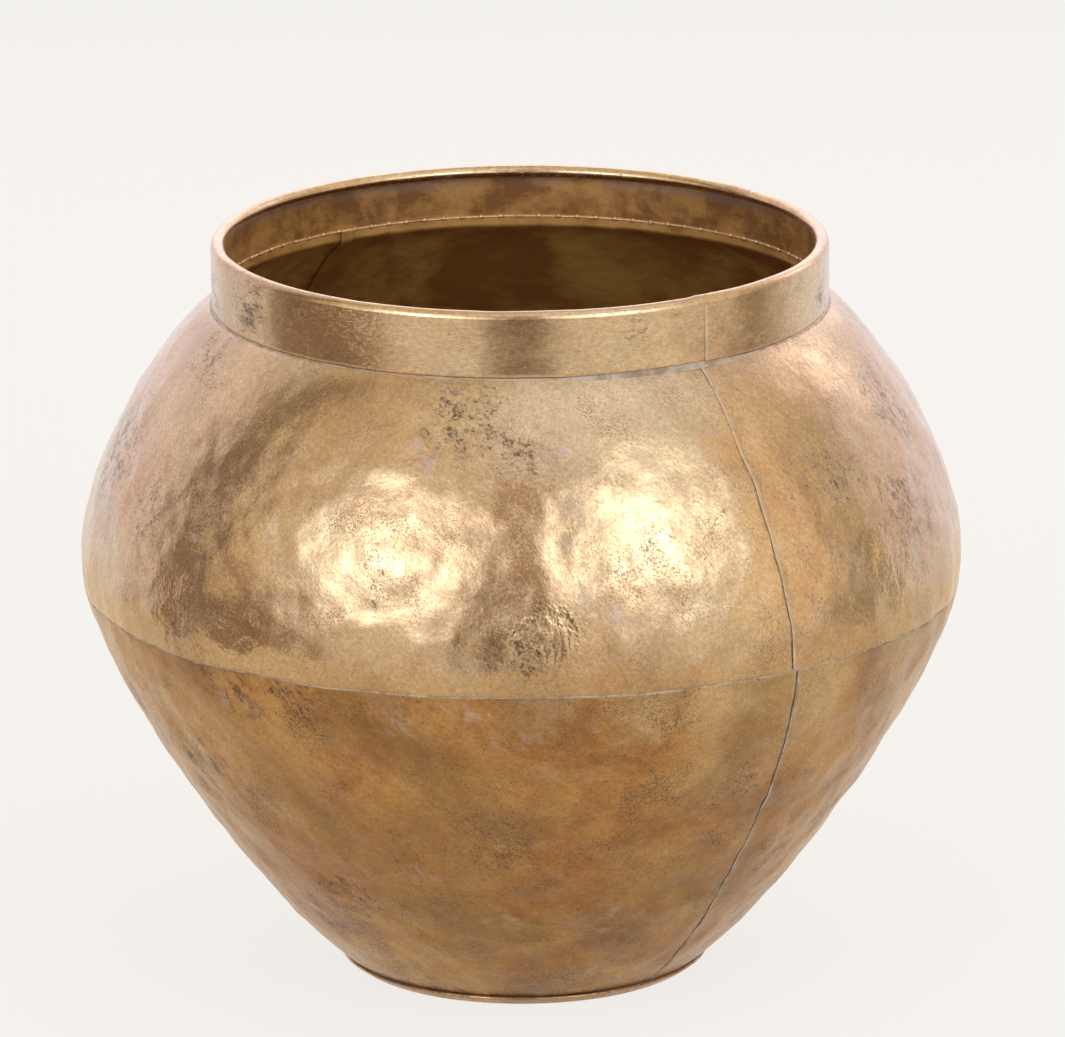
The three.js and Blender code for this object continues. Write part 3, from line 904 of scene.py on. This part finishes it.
def dull_brass(name, light, dark, patch_size, metallic, roughness, paler=None):
    """Brass that was never polished: a brown skin of oxide, half matt, with cloudy darker places.

    The top may have a paler band, given as its colour and the heights where it starts and is full.
    """
    material, add, shader, place = new_material(name)
    clouds = patches(add, place, patch_size, 0.36, 0.66, detail=5)
    level = add("Mapping", {"Vector": place, "Scale": (3, 3, 1)}, vector_type="TEXTURE")
    stains = patches(add, level, 5 * MM, 0.4, 0.75, detail=6, roughness=0.75)
    darker = add("Math", {0: stains, 1: 0.45, 2: clouds}, operation="MULTIPLY_ADD", use_clamp=True)
    skin = add("Mix", {"Factor": darker, "A": rgba(light), "B": rgba(dark)}, data_type="RGBA")
    if paler:
        # Inside the body this paler band is painted light on the flange under the collar; inside the collar
        # it is flux under the roll
        pale, low, high = paler
        height = add("SeparateXYZ", {"Vector": place}).outputs["Z"]
        band = add("MapRange", {"Value": height, "From Min": low, "From Max": high, "To Max": 0.5})
        band = add("Math", {0: band, 1: patches(add, level, 12 * MM, 0.3, 0.6)}, operation="MULTIPLY")
        skin = add("Mix", {"Factor": band, "A": skin, "B": rgba(pale)}, data_type="RGBA")
    gloss = add("Math", {0: darker, 1: 0.15, 2: roughness}, operation="MULTIPLY_ADD")
    bump = relief_of(add, ((place, 14 * MM, 0.4 * MM, 3), (place, 1.6 * MM, 0.05 * MM, 3)))
    feed(material.node_tree, shader, {
        "Base Color": skin, "Metallic": metallic, "Roughness": gloss, "Normal": bump,
    })
    return material


def soft_metal(name, bright, tarnished, patch_size, roughness):
    """Soft solder or wire: a dull grey metal, cloudy where it has tarnished, with a lumpy skin."""
    material, add, shader, place = new_material(name)
    clouds = patches(add, place, patch_size, 0.42, 0.62, roughness=0.65)
    skin = add("Mix", {"Factor": clouds, "A": rgba(bright), "B": rgba(tarnished)}, data_type="RGBA")
    gloss = add("Math", {0: clouds, 1: 0.2, 2: roughness}, operation="MULTIPLY_ADD")
    bump = relief_of(add, ((place, 1.8 * MM, 0.12 * MM, 3),))
    feed(material.node_tree, shader, {
        "Base Color": skin, "Metallic": 0.7, "Roughness": gloss, "Normal": bump,
    })
    return material


def make_finish(context, name):
    """The material of a name, with its colours from the panel."""
    finish = context.scene.pot_finish
    sizes = context.scene.pot_sizes
    slanting = (1, 1, 1.7)
    slant = math.radians(-45)
    # Beaten brass that is often rubbed: golden, with soft bright reflections and few dark specks
    if name == "golden_hammered_brass":
        return hammered_brass(context, name, Look(
            main=finish.golden, second=finish.tan, seam=body_seam(context, "upper"), pits=UPPER_PITS,
            bloom=UPPER_BLOOM, folds=UPPER_FOLDS, rubbed=None, blotches=0.14, grain_stretch=slanting,
            grain_turn=slant, roughness=0.18, coat=0.6, wear=0.8, relief=1,
        ))
    # Beaten brass that was left alone: brown and blotched, with duller reflections and more specks
    if name == "brown_hammered_brass":
        return hammered_brass(context, name, Look(
            main=finish.brown, second=finish.orange, seam=body_seam(context, "lower"), pits=LOWER_PITS,
            bloom=LOWER_BLOOM, folds=LOWER_FOLDS, rubbed=LOWER_RUBBED, blotches=0.4,
            grain_stretch=slanting, grain_turn=slant, roughness=0.26, coat=0.5, wear=1.4, relief=1.4,
        ))
    # Rolled brass strip, hardly beaten: smooth, with grain and wear that run round the pot
    if name == "golden_collar_brass":
        return hammered_brass(context, name, Look(
            main=finish.golden, second=finish.tan, seam=None, pits=COLLAR_PITS, bloom=COLLAR_BLOOM,
            folds=None, rubbed=None, blotches=0.15, grain_stretch=(3, 3, 1), grain_turn=0,
            roughness=0.2, coat=0.6, wear=0.5, relief=0.25,
        ))
    # Inside of the body, never polished: dark brown and matt, with painted light that makes the flange under
    # the collar paler
    if name == "dull_inner_brass":
        flange = (finish.collar_inside, sizes.neck_height + 0.9 * MM, sizes.neck_height + 1.2 * MM)
        return dull_brass(name, finish.inside, finish.inside_dark, 60 * MM, 0.35, 0.5, flange)
    # Inside of the collar: half matt tan brass with brown stains and a little flux under the roll
    if name == "collar_inner_brass":
        under_roll = sizes.rim_height - 2 * sizes.roll_radius
        flux = (finish.lilac, under_roll - 7 * MM, under_roll - 1 * MM)
        return dull_brass(name, finish.collar_inside, finish.collar_dull, 25 * MM, 0.6, 0.4, flux)
    # Soft solder as it set: grey, half matt and lumpy
    if name == "soft_solder":
        return soft_metal(name, finish.solder, finish.solder_dark, 12 * MM, 0.4)
    # Solder rubbed down with the sheet: thin, smoother, with the brass's colour in it
    if name == "rubbed_solder":
        return soft_metal(name, finish.solder_rubbed, finish.solder, 9 * MM, 0.3)
    # Hard solder of the bead and its tacks: pale gold and fairly bright
    if name == "bright_tack_brass":
        return soft_metal(name, finish.tack, finish.tan, 5 * MM, 0.3)
    # Drawn iron wire: plain grey, with dark stains of rust
    return soft_metal(name, finish.wire, finish.dark, 20 * MM, 0.4)


def finish_named(context, name):
    """Makes each material once, when the first piece asks for it."""
    return bpy.data.materials.get(name) or make_finish(context, name)


# Studio

# A soft light or a dark screen as the metal sees it: where its middle stands, in degrees round the
# pot and above the horizon, how far away it is in metres, how wide and high it looks from the pot,
# and how bright its middle and its rim are beside the backdrop.
Card = namedtuple("Card", "name azimuth elevation distance wide high glow rim tint")
CARDS = (
    # The first card is a painted shadow: a dark card flat on the floor round the pot, seen only in the metal,
    # that stands for the pot's own shadow there
    Card("painted_floor_shadow", 0, -90, 0.214, 163, 163, 0.6, 0.9, "warm"),
    Card("front_low", 0, 0, 1.3, 25, 32, 0.08, 0.25, "umber"),
    Card("left_low", -73, -11, 1.05, 60, 44, 0.31, 0.34, "umber"),
    Card("right_low", 90, -4, 1.1, 22, 34, 0.4, 0.45, "warm"),
    Card("front_gap", 0, 26, 2, 16, 56, 0.4, 0.5, "umber"),
    Card("left_gap", -93, 17, 2.05, 18, 104, 0.22, 0.25, "umber"),
    Card("right_gap", 97, 5, 2.1, 26, 90, 0.66, 0.7, "warm"),
    Card("back_window", 129, 30, 2.15, 30, 46, 4.2, 1, "rose"),
    Card("back_light", 180, 30, 2.2, 110, 56, 2.2, 1.3, "rose"),
    Card("left_softbox", -35, 24.5, 2.2, 64, 56, 8, 1.05, "cool"),
    Card("right_softbox", 34, 28, 2.3, 61, 65, 7, 1.05, "cool"),
    Card("right_ceiling", 45, 68, 2.4, 70, 50, 1.4, 1.1, "cool"),
    Card("left_wall", -143, 8, 2.4, 90, 90, 1, 1, "rose"),
    Card("right_wall", 138, 4, 2.45, 84, 90, 1, 1, "rose"),
    Card("left_wide", -60, 20, 2.5, 110, 100, 0.88, 0.88, "warm"),
    Card("right_wide", 60, 20, 2.6, 110, 100, 1.1, 1.1, "warm"),
    Card("ceiling", 0, 86, 2.7, 90, 90, 0.9, 0.9, "warm"),
)


def plain_ray_share(tree):
    """1 for the rays that see the backdrop itself, straight or in metal and glass, and 0 for light."""
    path = add_node(tree, "LightPath").outputs
    seen = add_node(tree, "Math", {0: path["Is Camera Ray"], 1: path["Is Glossy Ray"]}, operation="MAXIMUM")
    return add_node(tree, "Math", {0: seen, 1: path["Is Transmission Ray"]}, operation="MAXIMUM")


class POT_OT_studio(bpy.types.Operator):
    """Sets up the camera, the floor, the backdrop, the soft lights and the dark screens"""

    bl_idname = "pot.studio"
    bl_label = "Studio"

    def execute(self, context):
        studio = context.scene.pot_studio
        bpy.ops.object.select_all(action="DESELECT")
        context.scene.view_settings.view_transform = "Standard"
        self.make_camera(context, studio)
        self.make_floor(studio)
        self.make_backdrop(context, studio)
        for card in CARDS:
            self.make_card(studio, card)
        return {"FINISHED"}

    def make_camera(self, context, studio):
        stand = Vector((0, 0, studio.stand_height))
        back = Vector((0, -math.cos(studio.elevation), math.sin(studio.elevation)))
        bpy.ops.object.camera_add(location=stand + back * studio.distance)
        camera = context.object
        camera.name = "camera"
        aim = Vector((studio.aim_side, 0, studio.aim_height))
        look = (aim - camera.location).to_track_quat("-Z", "Y").to_matrix()
        camera.rotation_euler = (look @ Matrix.Rotation(-studio.roll, 3, "Z")).to_euler()
        camera.data.sensor_width = SENSOR_WIDTH
        camera.data.lens = SENSOR_WIDTH * FOCAL_PIXELS / PHOTO_WIDTH
        camera.data.clip_end = 100
        context.scene.camera = camera

    def make_floor(self, studio):
        bpy.ops.mesh.primitive_plane_add(size=40, location=(0, 0, 0))
        floor = bpy.context.object
        floor.name = "floor"
        material = bpy.data.materials.new("matt_pale_floor")
        tree = empty_tree(material)
        add = partial(add_node, tree)
        own_glow = 0.88  # the rest is lit, which keeps the pot's shadow
        plain_share = add("Math", {0: plain_ray_share(tree), 1: own_glow}, operation="MULTIPLY")
        lit = add("BsdfDiffuse", {"Color": rgba(studio.backdrop)})
        plain = add("Emission", {"Color": rgba(studio.backdrop), "Strength": studio.backdrop_glow})
        mixed = add("MixShader", {0: plain_share, 1: lit, 2: plain})
        add("OutputMaterial", {"Surface": mixed})
        floor.data.materials.append(material)

    def make_backdrop(self, context, studio):
        world = bpy.data.worlds.new("pale_backdrop")
        context.scene.world = world
        tree = empty_tree(world)
        add = partial(add_node, tree)
        strength = add("MapRange", {"Value": plain_ray_share(tree), "To Min": studio.room_light, "To Max": 1})
        back = add("Background", {"Color": rgba(studio.backdrop), "Strength": strength})
        add("OutputWorld", {"Surface": back})

    def make_card(self, studio, card):
        """A plane round the pot that glows like the backdrop at its rim and like itself in its middle."""
        middle = Vector((0, 0, studio.stand_height))
        azimuth = math.radians(card.azimuth)
        elevation = math.radians(card.elevation)
        place = middle + card.distance * on_ring(math.cos(elevation), azimuth, math.sin(elevation))
        bpy.ops.mesh.primitive_plane_add(size=2, location=place)
        plane = bpy.context.object
        plane.name = card.name
        plane.scale.x = card.distance * math.tan(math.radians(card.wide / 2))
        plane.scale.y = card.distance * math.tan(math.radians(card.high / 2))
        plane.rotation_euler = (middle - place).to_track_quat("Z", "Y").to_euler()
        plane.visible_camera = False
        plane.visible_shadow = False
        plane.visible_diffuse = card.glow > 1
        material = bpy.data.materials.new(card.name + "_light")
        tree = empty_tree(material)
        add = partial(add_node, tree)
        fade = add("TexGradient", {"Vector": add("TexCoord").outputs["Object"]}, gradient_type="SPHERICAL")
        inwards = add("Math", {0: fade, 1: 3}, operation="POWER")
        glow = add("MapRange", {"Value": inwards, "To Min": card.rim, "To Max": card.glow})
        light = add("Emission", {"Color": rgba(getattr(studio, card.tint)), "Strength": glow})
        clear = add("BsdfTransparent")
        blend = 0.3 if card.glow > 0.5 else 0.14
        edge = add("MapRange", {"Value": fade, "From Max": blend}, interpolation_type="SMOOTHSTEP")
        add("OutputMaterial", {"Surface": add("MixShader", {0: edge, 1: clear, 2: light})})
        plane.data.materials.append(material)


# Pieces

class POT_OT_base_pan(bpy.types.Operator):
    """Turns up the rim of the base pan"""

    bl_idname = "pot.base_pan"
    bl_label = "Base pan"

    def execute(self, context):
        sizes = context.scene.pot_sizes
        work = context.scene.pot_sheet
        foot, rim = foot_line(sizes)
        inner = Vector((20 * MM, 0))
        # Corners close to the bend keep it firm when the pan is subdivided
        line = [inner, inner.lerp(foot, 0.5), inner.lerp(foot, 0.97), foot, foot.lerp(rim, 0.4), rim]
        piece = ring_piece("turned_base_pan", line, FINE_STEPS // 2)
        bpy.ops.object.mode_set(mode="EDIT")
        pick(piece, lambda i, place: place.xy.length < inner.x + MM)
        bpy.ops.mesh.edge_face_add()
        bpy.ops.mesh.poke()
        face_outwards(piece, lambda place: Vector((0, 0, -1)))
        bpy.ops.object.mode_set(mode="OBJECT")
        finish_with(piece, "SUBSURF", levels=2, render_levels=2)
        outer = finish_named(context, "brown_hammered_brass")
        thicken(piece, work, outer, finish_named(context, "dull_inner_brass"))
        hand_over(piece, "lower_brass", "base_pan")
        return {"FINISHED"}


class POT_OT_lower_shells(bpy.types.Operator):
    """Beats the two halves of the lower body, which are tucked up inside the upper body"""

    bl_idname = "pot.lower_shells"
    bl_label = "Lower shells"

    def execute(self, context):
        outline = body_outline(context)
        work = context.scene.pot_sheet
        top = context.scene.pot_sizes.seam_height
        depth = work.sheet + work.clearance
        body = stretch(outline, outline[0].y, top - 3 * MM, work.grid)
        heights = (top - work.step, top - 0.5 * work.step, top, top + 3 * MM, top + work.belly_tuck)
        tuck = [at_height(outline, height) for height in heights]
        line = body + sunk(tuck, (0, 0.5 * depth, depth, depth, depth))
        both_halves(context, "lower", line, "brown_hammered_brass")
        return {"FINISHED"}


class POT_OT_upper_shells(bpy.types.Operator):
    """Beats the two halves of the upper body, up to the flange inside the collar"""

    bl_idname = "pot.upper_shells"
    bl_label = "Upper shells"

    def execute(self, context):
        sizes = context.scene.pot_sizes
        outline = body_outline(context)
        body_top = sizes.neck_height - 0.6 * MM
        body = stretch(outline, sizes.seam_height, body_top, context.scene.pot_sheet.grid)
        rises = (0.3 * MM, 1 * MM, 0.5 * sizes.neck_flange, sizes.neck_flange)
        flange = [Vector((sizes.neck_radius, sizes.neck_height + rise)) for rise in rises]
        both_halves(context, "upper", body + flange, "golden_hammered_brass")
        return {"FINISHED"}


def raise_roll(piece, context):
    """Lifts the rolled edge right of its joint a little, fading out round the rim."""
    sizes = context.scene.pot_sizes
    joint = context.scene.pot_seams.collar - math.radians(3.2)
    rise = math.radians(1.6)
    fade = math.radians(30)
    foot_of_roll = sizes.rim_height - 2 * sizes.roll_radius

    def lift(place):
        past = math.atan2(place.x, -place.y) - joint
        along = min(1, max(0, past / rise)) * min(1, max(0, 1 - past / fade))
        up = min(1, max(0, (place.z - foot_of_roll) / sizes.roll_radius))
        return along * up

    finish_with(
        piece, "DISPLACE", direction="Z", strength=context.scene.pot_sheet.joint_rise, mid_level=0,
        vertex_group=weigh(piece, "joint", lift),
    )


class POT_OT_collar(bpy.types.Operator):
    """Rolls the collar's edge over its wire and laps its ends"""

    bl_idname = "pot.collar"
    bl_label = "Collar"

    def execute(self, context):
        sizes = context.scene.pot_sizes
        work = context.scene.pot_sheet
        roll = rolled_edge(sizes)
        crease = roll[0]
        low = Vector((sizes.collar_radius, sizes.collar_low))
        wall = straight(low, crease - Vector((0, 3 * MM)), 4)
        firm = [crease - Vector((0, drop * MM)) for drop in (0.8, 0.25)]
        line = wall + firm + roll
        depth = work.sheet + work.clearance
        depths = [depth if i < len(wall) - 1 else 0 for i in range(len(line))]
        angle = context.scene.pot_seams.collar
        last_gap = math.radians(2)
        columns = round(FULL_TURN * sizes.collar_radius / (0.9 * work.grid))
        piece = start_piece("rolled_collar")
        draw_line(seam_line(line, lambda height: angle, 0))
        spin_on(piece, len(line), columns, FULL_TURN - last_gap)
        step_down(piece, work, line, depths, lambda height: angle + FULL_TURN, (-0.15 * MM,))
        outer = finish_named(context, "golden_collar_brass")
        beaten_sheet(piece, work, outer, finish_named(context, "collar_inner_brass"))
        raise_roll(piece, context)
        hand_over(piece, "upper_brass", "collar")
        return {"FINISHED"}


class POT_OT_rim_wire(bpy.types.Operator):
    """Bends the iron wire that the collar's edge is rolled on"""

    bl_idname = "pot.rim_wire"
    bl_label = "Rim wire"

    def execute(self, context):
        sizes = context.scene.pot_sizes
        centre = roll_centre(sizes)
        sides = 12
        turns = [FULL_TURN * i / sides for i in range(sides + 1)]
        section = [on_circle(centre, sizes.wire_radius, angle) for angle in turns]
        piece = ring_piece("iron_rim_wire", section, FINE_STEPS)
        turn_outwards()
        warp(piece, context.scene.pot_sheet)
        raise_roll(piece, context)
        piece.data.materials.append(finish_named(context, "drawn_iron_wire"))
        smooth_shade()
        hand_over(piece, "wire", "rim_wire")
        return {"FINISHED"}


class POT_OT_ring_solders(bpy.types.Operator):
    """Runs solder round the foot, the belly and the neck"""

    bl_idname = "pot.ring_solders"
    bl_label = "Foot, belly and neck solder"

    def execute(self, context):
        sizes = context.scene.pot_sizes
        outline = body_outline(context)
        self.at_foot(context, sizes, outline)
        self.at_belly(context, sizes, outline)
        self.at_neck(context, sizes, outline)
        return {"FINISHED"}

    def at_foot(self, context, sizes, outline):
        rim = foot_line(sizes)[1]
        on_shell = at_height(outline, rim.y + 1.1 * MM)
        section = [
            beside(rim, -0.1, -0.1),
            beside(rim, -0.35, 0.25),
            beside(rim.lerp(on_shell, 0.6), 0.15, 0.2),
            on_shell,
            beside(on_shell, -0.6, -0.4),
            beside(rim, -1.2, -0.6),
        ]
        solder_ring(context, "foot_solder_line", "foot_solder", section, lumps=0.2 * MM)

    def at_belly(self, context, sizes, outline):
        # How far below the upper body's edge and how deep in the step each corner lies, in millimetres
        corners = ((1.3, 0.1), (0.85, 0.26), (0.45, 0.34), (0.03, 0.36), (0.03, 1.0), (0.8, 0.9))
        up = at_height(outline, sizes.seam_height) - at_height(outline, sizes.seam_height - 2 * MM)
        inward = Vector((-up.y, up.x)).normalized()
        section = []
        for drop, depth in corners:
            section.append(at_height(outline, sizes.seam_height - drop * MM) + inward * depth * MM)
        solder_ring(context, "belly_solder_line", "belly_solder", section)

    def at_neck(self, context, sizes, outline):
        collar_edge = Vector((sizes.collar_radius, sizes.collar_low))
        outer_edge = at_radius(outline, sizes.collar_radius + 3.2 * MM)
        section = [
            beside(collar_edge, -0.6, 0.1),
            beside(collar_edge, 0.1, 0.95),
            beside(collar_edge, 0.5, 0.5),
            beside(outer_edge.lerp(collar_edge, 0.5), 0.1, 0.3),
            beside(outer_edge, 0, 0.02),
            beside(outer_edge, -0.3, -0.1),
            beside(collar_edge, -0.6, -0.1),
        ]
        piece = solder_ring(context, "neck_solder_line", "neck_solder", section, lumps=0.25 * MM)
        wide_from = math.radians(6)
        wide_to = context.scene.pot_seams.collar
        small_to = math.radians(47)

        def thinness(place):
            angle = math.atan2(place.x, -place.y)
            if wide_from < angle < wide_to:
                return 1 - ((angle - wide_from) / (wide_to - wide_from)) ** 0.7
            if wide_to < angle < small_to:
                return 0.4 + 0.6 * (angle - wide_to) / (small_to - wide_to)
            return 1

        finish_with(
            piece, "DISPLACE", direction="Z", strength=-1.15 * MM, mid_level=0,
            vertex_group=weigh(piece, "thin", thinness),
        )


class POT_OT_seam_solders(bpy.types.Operator):
    """Runs solder down the upright seams of the body and the collar"""

    bl_idname = "pot.seam_solders"
    bl_label = "Seam solder"

    def execute(self, context):
        sizes = context.scene.pot_sizes
        outline = body_outline(context)
        pitch = 4 * MM
        foot_end = sizes.foot_rim + 1.5 * MM
        lower = stretch(outline, foot_end, sizes.seam_height - 1 * MM, pitch)
        upper = stretch(outline, sizes.seam_height + 0.3 * MM, sizes.neck_height - 1 * MM, pitch)
        bodies = (("lower", lower, "soft_solder", 0.3), ("upper", upper, "rubbed_solder", 0.8))
        for side, turned in (("right", 0), ("left", HALF_TURN)):
            for body, line, material, sink in bodies:
                node = f"{body}_seam_solder_{side}"
                angle_at = partial(seam_angle, body_seam(context, body), turned)
                seam_strip(context, f"{body}_solder_line_{side}", node, line, angle_at, material, sink)
        low = Vector((sizes.collar_radius, sizes.collar_low + 0.3 * MM))
        wall = straight(low, Vector((sizes.collar_radius, roll_centre(sizes).y - 1 * MM)), 8)
        seam_strip(
            context, "collar_solder_line", "collar_seam_solder", wall,
            lambda height: context.scene.pot_seams.collar, "rubbed_solder", sink=0.1,
        )
        return {"FINISHED"}


class POT_OT_neck_tacks(bpy.types.Operator):
    """Sets the bead and the small tacks along the flange inside the neck"""

    bl_idname = "pot.neck_tacks"
    bl_label = "Neck tacks"

    def execute(self, context):
        sizes = context.scene.pot_sizes
        work = context.scene.pot_sheet
        outside = Vector((sizes.neck_radius, sizes.neck_height + sizes.neck_flange))
        inside = outside - Vector((work.sheet, 0))
        section = [
            beside(inside, -0.1, -0.6),
            beside(outside, 0.1, -0.2),
            beside(outside, 0.15, 0.6),
            beside(inside, 0.5, 0.95),
            beside(inside, -0.5, 0.2),
            beside(inside, -0.45, -0.3),
        ]
        piece = ring_piece("neck_bead_and_tacks", [*section, section[0]], FINE_STEPS)
        turn_outwards()
        first_tack = beside(inside, -0.35, 0.2)
        bpy.ops.object.mode_set(mode="EDIT")
        bpy.ops.mesh.select_all(action="DESELECT")
        bpy.ops.mesh.primitive_ico_sphere_add(
            subdivisions=2, radius=1.3 * MM, location=on_ring(first_tack.x, 0, first_tack.y),
            scale=(1.3, 1, 1.05),
        )
        count = round(FULL_TURN * inside.x / work.tack_pitch)
        bpy.ops.mesh.spin(
            steps=count - 1, angle=-FULL_TURN * (count - 1) / count, dupli=True,
            center=(0, 0, 0), axis=(0, 0, 1),
        )
        bpy.ops.object.mode_set(mode="OBJECT")
        warp(piece, work)
        beat(piece, "CLOUDS", "tack_lumps", 9 * MM, 0.7 * MM, "loose", noise_depth=1)
        piece.data.materials.append(finish_named(context, "bright_tack_brass"))
        smooth_shade(60)
        hand_over(piece, "upper_brass", "neck_tacks")
        return {"FINISHED"}


class POT_PT_panel(bpy.types.Panel):
    """Lists the steps that build the pot"""

    bl_idname = "POT_PT_panel"
    bl_label = "Planter Pot"
    bl_space_type = "VIEW_3D"
    bl_region_type = "UI"
    bl_category = "Planter Pot"

    def draw(self, context):
        for step in STEPS:
            self.layout.operator(step.bl_idname)


STEPS = (
    POT_OT_studio,
    POT_OT_base_pan,
    POT_OT_lower_shells,
    POT_OT_upper_shells,
    POT_OT_collar,
    POT_OT_rim_wire,
    POT_OT_ring_solders,
    POT_OT_seam_solders,
    POT_OT_neck_tacks,
)


def register():
    for name, group in GROUPS.items():
        bpy.utils.register_class(group)
        setattr(bpy.types.Scene, name, bpy.props.PointerProperty(type=group))
    for step in STEPS:
        bpy.utils.register_class(step)
    bpy.utils.register_class(POT_PT_panel)


def unregister():
    bpy.utils.unregister_class(POT_PT_panel)
    for step in reversed(STEPS):
        bpy.utils.unregister_class(step)
    for name, group in GROUPS.items():
        delattr(bpy.types.Scene, name)
        bpy.utils.unregister_class(group)


def main():
    """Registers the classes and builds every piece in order."""
    register()
    for step in STEPS:
        group, name = step.bl_idname.split(".")
        getattr(getattr(bpy.ops, group), name)()


if __name__ == "__main__":
    main()
